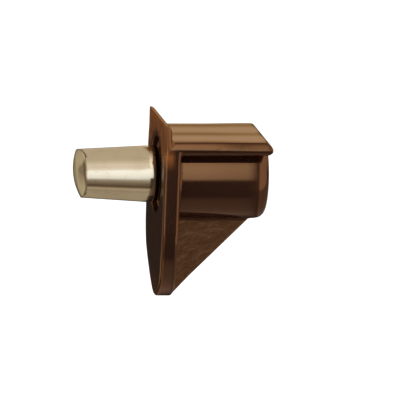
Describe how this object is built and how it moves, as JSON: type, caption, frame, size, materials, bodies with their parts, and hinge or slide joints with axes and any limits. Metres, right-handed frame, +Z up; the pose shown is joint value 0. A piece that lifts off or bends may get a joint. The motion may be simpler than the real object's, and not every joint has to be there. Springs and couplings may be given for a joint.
{
  "type": "shelf support pin",
  "caption": "Plug-in shelf support: a moulded plastic bracket with a ledge, a shield-shaped flange and a bracing web, carried by a steel pin.",
  "frame": {"origin": "on the pin's axis, in the plane of the flange's back face, which bears on the side panel", "axes": "+X leaves the panel towards the end of the ledge, so the pin points along -X; +Y runs along the panel; +Z is up, out of the face that the shelf rests on"},
  "size_m": [0.0171, 0.01, 0.0161],
  "materials": {
    "brown_plastic": "dark reddish-brown moulded plastic with a polished surface",
    "pin_steel": "turned steel with a warm nickel plating"
  },
  "bodies": {
    "root": {"bracket_body": "brown_plastic", "steel_pin": "pin_steel"}
  },
  "joints": []
}
